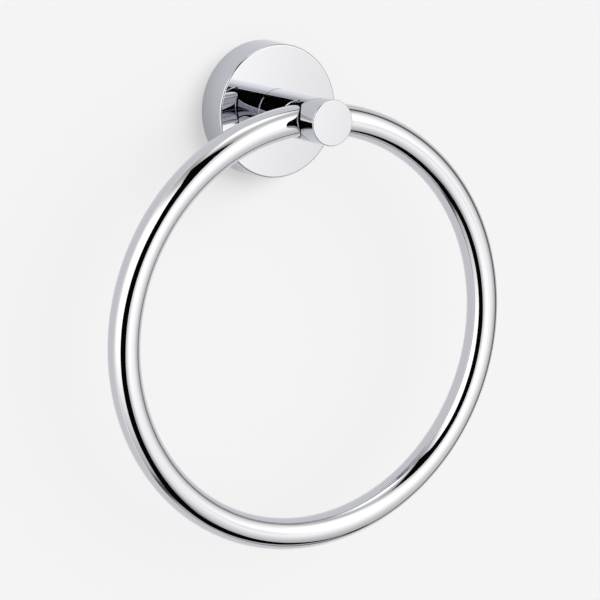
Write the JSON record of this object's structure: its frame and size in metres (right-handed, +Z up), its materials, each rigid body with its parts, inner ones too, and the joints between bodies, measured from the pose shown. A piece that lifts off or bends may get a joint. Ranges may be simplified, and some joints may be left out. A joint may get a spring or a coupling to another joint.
{
  "type": "towel ring",
  "caption": "Wall-mounted towel ring: a chromed flange and post on a hidden wall bracket, with a loose round ring that swings in a cross hole.",
  "frame": {"origin": "middle of the wall bracket's back face, on the axis of the post", "axes": "+Y into the wall, so the post points along -Y; +Z up; the cross hole runs along X"},
  "size_m": [0.178, 0.0535, 0.199],
  "materials": {
    "flange_chrome": "polished chrome plate",
    "post_chrome": "polished chrome plate",
    "ring_chrome": "polished chrome plate",
    "bracket_steel": "zinc plated",
    "screw_steel": "bright steel"
  },
  "bodies": {
    "holder": {"wall_bracket": "bracket_steel", "flange": "flange_chrome", "grub_screw": "screw_steel", "post": "post_chrome", "post_washer": "screw_steel", "post_screw": "screw_steel"},
    "ring": {"ring": "ring_chrome"}
  },
  "joints": [
    {"name": "ring_swing", "type": "hinge", "parent": "holder", "child": "ring", "pos_m": [0, -0.037, -0.0003], "axis": [-1, 0, 0], "range_deg": [-10.5, 190.5]}
  ]
}
